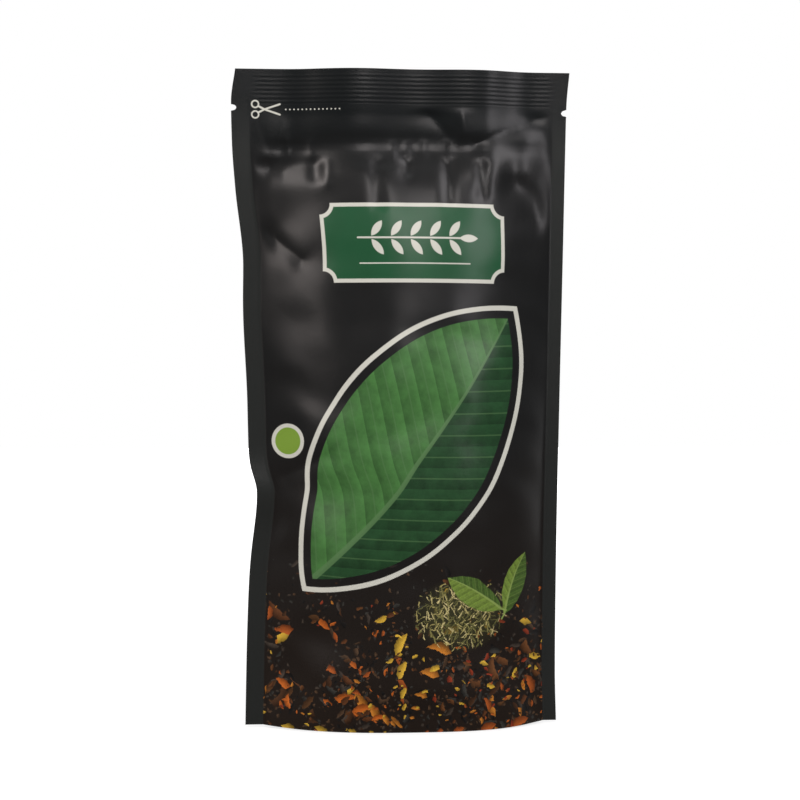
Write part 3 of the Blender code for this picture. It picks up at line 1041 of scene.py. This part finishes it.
def platePrint(tree, where, u, v, under):
    # a ticket-shaped plate: a rectangle less a circle at each corner, with a line inside its edge
    across, up = tree.less(u, plate["middle"][0]), tree.less(v, plate["middle"][1])
    outU = tree.less(tree.size(across), plate["halfSize"][0])
    outV = tree.less(tree.size(up), plate["halfSize"][1])
    edge = tree.greater(tree.greater(outU, outV), tree.less(plate["corner"], tree.length(outU, outV)))
    mottle = tree.noise(where, plate["mottlesInMetre"], 2.0, dimensions="2D")
    tone = tree.mix(mottle, colours["plate"], colours["plateLight"])
    tone = tree.mix(tree.inside(tree.less(-2 * plate["line"], edge)), tone, colours["cream"])
    under = tree.mix(tree.inside(edge), under, tone)

    # inside it a sprig with pairs of leaves and one leaf at its tip, and a thin rule below
    half = plate["ruleHalfLength"]
    rule = tree.stroke(across, tree.add(up, plate["ruleFrom"]), (-half, 0.0), (half, 0.0), plate["ruleLine"])
    up = tree.less(up, sprig["rise"])
    pitch, pairs = sprig["pitch"], sprig["pairs"]
    fromPair = tree.nearestOf(across, pitch, -pairs, pairs)
    leafAlong, leafAcross = tree.turned(fromPair, tree.size(up), sprig["leafAt"], radians(sprig["leafTurn"]))
    leaf = tree.lens(leafAlong, leafAcross, *sprig["leafHalfSize"])
    tipAlong = tree.less(across, (pairs + sprig["tipFrom"]) * pitch + sprig["tipOut"])
    tip = tree.lens(tipAlong, up, *sprig["tipHalfSize"])
    stemLeft, stemRight = sprig["stemEnds"]
    stemFoot, stemEnd = (-(pairs + stemLeft) * pitch, 0.0), ((pairs + stemRight) * pitch, 0.0)
    stem = tree.stroke(across, up, stemFoot, stemEnd, sprig["stemLine"])
    drawn = tree.lesser(tree.lesser(leaf, tip), stem)
    return tree.mix(tree.inside(tree.lesser(drawn, rule)), under, colours["cream"])


cutLine = {
    "middle": (-0.0490, 0.2262),
    "dotsFrom": 0.0070,
    "dotPitch": 0.00150,
    "dots": 13,
    "dotRadius": 0.00028,
    "handleAt": (-0.0042, 0.0019),
    "handleRadius": 0.00125,
    "handleLine": 0.00028,
    "handleEnd": (-0.0031, 0.0012),
    "cross": (-0.0008, 0.0),
    "tip": (0.0048, 0.0019),
    "bladeWidth": 0.00034,
    "soft": 0.00008,
}


def cutLinePrint(tree, u, v, under):
    # a pair of scissors, mirrored about its own line, and a row of dots
    along, across = tree.less(u, cutLine["middle"][0]), tree.less(v, cutLine["middle"][1])
    mirrored = tree.size(across)
    ring = tree.length(tree.less(along, cutLine["handleAt"][0]), tree.less(mirrored, cutLine["handleAt"][1]))
    ring = tree.less(tree.size(tree.less(ring, cutLine["handleRadius"])), cutLine["handleLine"])
    shank = tree.stroke(along, mirrored, cutLine["handleEnd"], cutLine["cross"], cutLine["bladeWidth"])
    blade = tree.stroke(along, mirrored, cutLine["cross"], cutLine["tip"], cutLine["bladeWidth"])
    fromDot = tree.nearestOf(tree.less(along, cutLine["dotsFrom"]), cutLine["dotPitch"], 0, cutLine["dots"])
    dots = tree.less(tree.length(fromDot, across), cutLine["dotRadius"])
    shape = tree.lesser(tree.lesser(ring, shank), tree.lesser(blade, dots))
    return tree.mix(tree.inside(shape, cutLine["soft"]), under, colours["cream"])


printed = {"left": -0.0555, "right": 0.0570, "soft": 0.0002}

# How a colour comes in up the film: slope and start of slope * v + start, held between 0 and 1
# the second and third fades bring in painted shade, darker and cooler, over the top of the film and of the
# side seals
fades = {"warm": (-9.0, 1.0), "topShade": (50.0, -10.25), "sealTopShade": (50.0, -10.6)}

contour = {"gap": 0.0038, "line": 0.0009, "showThrough": 0.35}  # round the large leaf

dot = {"middle": (-0.0470, 0.1050), "radius": 0.0056, "rim": 0.0007}

finish = {
    "roughness": 0.30,
    "roughnessSpread": 0.05,
    "swellPitch": 0.0090,
    "swellHeight": 0.00004,
    "crinklePitch": 0.0016,
    "crinkleHeight": 0.000010,
}


def printedFilm():
    # dark satin film with the print laid down from the ground up, painted shade over its top, and two sizes
    # of bump in its gloss
    material = bpy.data.materials.new("printedFilm")
    material.use_nodes = True
    tree = NodeTree(material.node_tree)
    shader = material.node_tree.nodes["Principled BSDF"]
    where = tree.node("ShaderNodeUVMap", uv_map="filmMap").outputs["UV"]
    u, v, _ = tree.split(where)
    fade = {name: tree.maths("MULTIPLY_ADD", v, *line, clamp=True) for name, line in fades.items()}

    # painted shade: the ground turns darker and cooler over the top of the film, above the zip
    tone = tree.mix(fade["topShade"], colours["ground"], colours["topPaintedShade"])
    tone = tree.mix(fade["warm"], tone, colours["warmGround"])
    tone = strewnPrint(tree, where, u, v, tone)
    behind = tree.mix(contour["showThrough"], colours["ground"], tone)
    tone, edge = leafPrint(tree, where, u, v, tone, leaves["large"])
    gap = tree.times(tree.inside(tree.less(edge, contour["gap"])), tree.less(1.0, tree.inside(edge)))
    tone = tree.mix(gap, tone, behind)
    line = tree.less(tree.size(tree.less(edge, contour["gap"])), contour["line"])
    tone = tree.mix(tree.inside(line), tone, colours["cream"])
    for name in ("lower", "upper"):
        tone, _ = leafPrint(tree, where, u, v, tone, leaves[name])
    fromDot = tree.length(tree.less(u, dot["middle"][0]), tree.less(v, dot["middle"][1]))
    fromDot = tree.less(fromDot, dot["radius"])
    tone = tree.mix(tree.inside(fromDot), tone, colours["dot"])
    tone = tree.mix(tree.inside(tree.less(tree.size(fromDot), dot["rim"])), tone, colours["cream"])
    tone = platePrint(tree, where, u, v, tone)
    tone = cutLinePrint(tree, u, v, tone)
    # painted shade: the side seals turn darker and cooler towards the top edge
    sealTone = tree.mix(fade["sealTopShade"], colours["seal"], colours["topPaintedShade"])
    beyond = tree.greater(tree.less(printed["left"], u), tree.less(u, printed["right"]))
    tone = tree.mix(tree.inside(beyond, printed["soft"]), sealTone, tone)
    tree.put(shader.inputs["Base Color"], tone)

    spread = tree.noise(where, 1 / finish["swellPitch"], 2.0, dimensions="2D")
    low = finish["roughness"] - finish["roughnessSpread"] / 2
    tree.put(shader.inputs["Roughness"], tree.maths("MULTIPLY_ADD", spread, finish["roughnessSpread"], low))
    swell = tree.noise(where, 1 / finish["swellPitch"], 1.0, dimensions="2D")
    crinkle = tree.noise(where, 1 / finish["crinklePitch"], 2.0, dimensions="2D")
    relief = tree.add(tree.times(swell, finish["swellHeight"]), tree.times(crinkle, finish["crinkleHeight"]))
    bump = tree.node("ShaderNodeBump")
    tree.put(bump.inputs["Height"], relief)
    bump.inputs["Distance"].default_value = 1.0
    tree.put(shader.inputs["Normal"], bump.outputs["Normal"])
    print("film print:", len(material.node_tree.nodes), "nodes")
    return material


# Studio

studio = {
    "cameraDistance": 0.700,
    "cameraAzimuth": -5.0,
    "cameraHeight": 0.126,
    "aimHeight": 0.1198,
    "aimAcross": -0.0006,
    "frameWidth": 0.29470,  # seen by the frame's width at the side seals
    "sensorWidth": 36.0,
    "clipStart": 0.01,
}

lamps = {
    # azimuth, distance and height of the middle, width, height, watts, colour
    "leftLamp": (-50.0, 1.40, 0.98, 0.42, 1.40, 7.4, (1.0, 0.90, 0.86)),
    "highLeftLamp": (-40.0, 1.15, 1.08, 0.34, 0.50, 1.8, (1.0, 0.93, 0.90)),
    "middleLamp": (6.0, 1.40, 0.90, 0.18, 0.70, 2.9, (1.0, 0.94, 0.93)),
    "rightLamp": (38.0, 1.40, 0.98, 0.28, 1.40, 5.4, (1.0, 0.95, 0.98)),
    "highRightLamp": (52.0, 1.15, 1.15, 0.34, 0.60, 1.6, (1.0, 0.96, 0.97)),
    "topLamp": (0.0, 0.30, 1.40, 0.90, 0.40, 1.0, (0.97, 0.98, 1.0)),
}


def placeAimed(name, data, azimuth, distance, height, aim):
    # distance * (sin, -cos) of the azimuth, at that height, looking at the aim
    placed = bpy.data.objects.new(name, data)
    bpy.context.scene.collection.objects.link(placed)
    turn = radians(azimuth)
    placed.location = (distance * sin(turn), -distance * cos(turn), height)
    placed.rotation_mode = "QUATERNION"
    placed.rotation_quaternion = (Vector(aim) - placed.location).to_track_quat("-Z", "Y")
    return placed


def makeCamera():
    data = bpy.data.cameras.new("camera")
    data.sensor_width = studio["sensorWidth"]
    data.lens = data.sensor_width * studio["cameraDistance"] / studio["frameWidth"]
    data.clip_start = studio["clipStart"]
    data.dof.use_dof = False
    where = (studio["cameraAzimuth"], studio["cameraDistance"], studio["cameraHeight"])
    aim = (studio["aimAcross"], 0.0, studio["aimHeight"])
    bpy.context.scene.camera = placeAimed("camera", data, *where, aim)


def makeLamps():
    for name, (*where, width, tall, power, colour) in lamps.items():
        data = bpy.data.lights.new(name, "AREA")
        data.shape = "RECTANGLE"
        data.size, data.size_y, data.energy, data.color = width, tall, power, colour
        placeAimed(name, data, *where, (0.0, 0.0, studio["aimHeight"]))


room = {
    "front": (0.054, 0.072, 0.080),
    "behind": (1.0, 1.0, 1.0),
    "behindFade": (1.6, 0.35),
    "light": (0.72, 0.72, 0.72),
}


def makeWorld():
    # white to the camera all round; in reflections white behind the pouch and a dim room before it
    world = bpy.data.worlds.new("studio")
    bpy.context.scene.world = world
    world.use_nodes = True
    tree = NodeTree(world.node_tree)
    background = world.node_tree.nodes["Background"]
    path = tree.node("ShaderNodeLightPath").outputs
    _, towardsBack, _ = tree.split(tree.node("ShaderNodeTexCoord").outputs["Generated"])
    behind = tree.maths("MULTIPLY_ADD", towardsBack, *room["behindFade"], clamp=True)
    around = tree.mix(behind, room["front"], room["behind"])
    seen = tree.maths("ADD", path["Is Glossy Ray"], path["Is Transmission Ray"], clamp=True)
    light = tree.mix(seen, room["light"], around)
    tree.put(background.inputs["Color"], tree.mix(path["Is Camera Ray"], light, (1.0, 1.0, 1.0)))
    background.inputs["Strength"].default_value = 1.0


floorLook = {
    "reach": 3.0,
    "below": 0.0002,
    "pale": (0.30, 0.30, 0.30),
    "reflected": (0.05, 0.05, 0.05),
    "behindFade": (1.6, 0.0),
    "glow": (0.5, 0.74),  # rise with each metre from the pouch, and start; 1 is white
}


def makeFloor():
    # pale, with a glow that the camera sees, and that reflections see behind the pouch
    mesh = bpy.data.meshes.new("floor")
    reach = floorLook["reach"]
    corners = [(-reach, -reach, 0), (reach, -reach, 0), (reach, reach, 0), (-reach, reach, 0)]
    mesh.from_pydata(corners, [], [(0, 1, 2, 3)])
    material = bpy.data.materials.new("paleFloor")
    material.use_nodes = True
    tree = NodeTree(material.node_tree)
    shader = material.node_tree.nodes["Principled BSDF"]
    shader.inputs["Roughness"].default_value = 1.0
    shader.inputs["Specular IOR Level"].default_value = 0.0
    path = tree.node("ShaderNodeLightPath").outputs
    pale = tree.mix(path["Is Glossy Ray"], floorLook["pale"], floorLook["reflected"])
    tree.put(shader.inputs["Base Color"], pale)
    where = tree.node("ShaderNodeTexCoord").outputs["Object"]
    _, towardsBack, _ = tree.split(where)
    behind = tree.maths("MULTIPLY_ADD", towardsBack, *floorLook["behindFade"], clamp=True)
    reflected = tree.maths("ADD", path["Is Glossy Ray"], path["Is Transmission Ray"], clamp=True)
    seen = tree.add(path["Is Camera Ray"], tree.times(reflected, behind))
    away = tree.node("ShaderNodeVectorMath", operation="LENGTH")
    tree.put(away.inputs[0], where)
    white = tree.maths("MULTIPLY_ADD", away.outputs["Value"], *floorLook["glow"])
    shader.inputs["Emission Color"].default_value = (1.0, 1.0, 1.0, 1.0)
    tree.put(shader.inputs["Emission Strength"], tree.times(white, seen))
    mesh.materials.append(material)
    floor = bpy.data.objects.new("floor", mesh)
    floor.location.z = -floorLook["below"]
    bpy.context.scene.collection.objects.link(floor)


settled = ((settledFilm(-1), settledFilm(1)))
makePouch(settled)
makeCamera()
makeLamps()
makeWorld()
makeFloor()
print("studio ready")

bpy.context.scene.view_settings.view_transform = "Standard"
